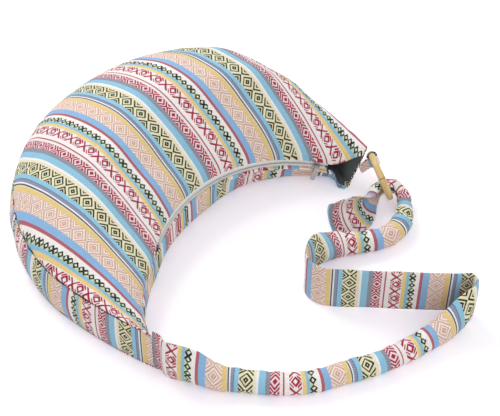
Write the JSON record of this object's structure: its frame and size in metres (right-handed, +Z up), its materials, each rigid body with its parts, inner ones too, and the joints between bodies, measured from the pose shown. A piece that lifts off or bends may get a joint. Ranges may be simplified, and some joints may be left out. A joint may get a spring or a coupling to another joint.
{
  "type": "crescent hobo bag",
  "caption": "Stuffed crescent hobo bag in striped woven cotton, lying on its back, with a zip along its inner curve, a bamboo ring and a cloth shoulder strap drawn through the ring.",
  "frame": {"origin": "middle of the flat patch of the back panel that the bag rests on", "axes": "+X along the chord from the strap tip to the ring tip, +Y towards the belly of the crescent, +Z up, out through the front panel"},
  "size_m": [0.4036, 0.548, 0.1374],
  "materials": {
    "striped_cotton": "woven stripes with diamond and zigzag bands",
    "grey_lining": "plain dark grey weave",
    "zip_tape": "pale grey tape",
    "zip_teeth": "pale nylon coil",
    "nickel": "polished nickel",
    "bamboo": "varnished bamboo"
  },
  "bodies": {
    "bag": {"back_lining": "grey_lining", "back_panel": "striped_cotton", "front_lining": "grey_lining", "front_panel": "striped_cotton", "gusset": "striped_cotton", "gusset_lining": "grey_lining", "ring_loop": "striped_cotton", "strap_inner_strip": "striped_cotton", "strap_outer_strip": "striped_cotton", "zip_bottom_stop": "nickel", "zip_tape_back": "zip_tape", "zip_tape_front": "zip_tape", "zip_teeth_back": "zip_teeth", "zip_teeth_front": "zip_teeth", "zip_top_stop_back": "nickel", "zip_top_stop_front": "nickel"},
    "slider": {"zip_slider": "nickel"},
    "puller": {"zip_puller": "nickel"},
    "ring": {"bamboo_ring": "bamboo"}
  },
  "joints": [
    {"name": "slider_run", "type": "hinge", "parent": "bag", "child": "slider", "pos_m": [0.003, -0.27711, -0.00274], "axis": [0, -0.2874, 0.9578], "range_deg": [0, 72.07]},
    {"name": "puller_swing", "type": "hinge", "parent": "slider", "child": "puller", "pos_m": [0.14031, -0.16363, 0.03382], "axis": [-0.6555, 0.7233, 0.217], "range_deg": [0, 150]},
    {"name": "ring_turn", "type": "hinge", "parent": "bag", "child": "ring", "pos_m": [0.18, -0.2285, 0.02896], "axis": [0.759, -0.5493, 0.3495], "continuous": true}
  ]
}
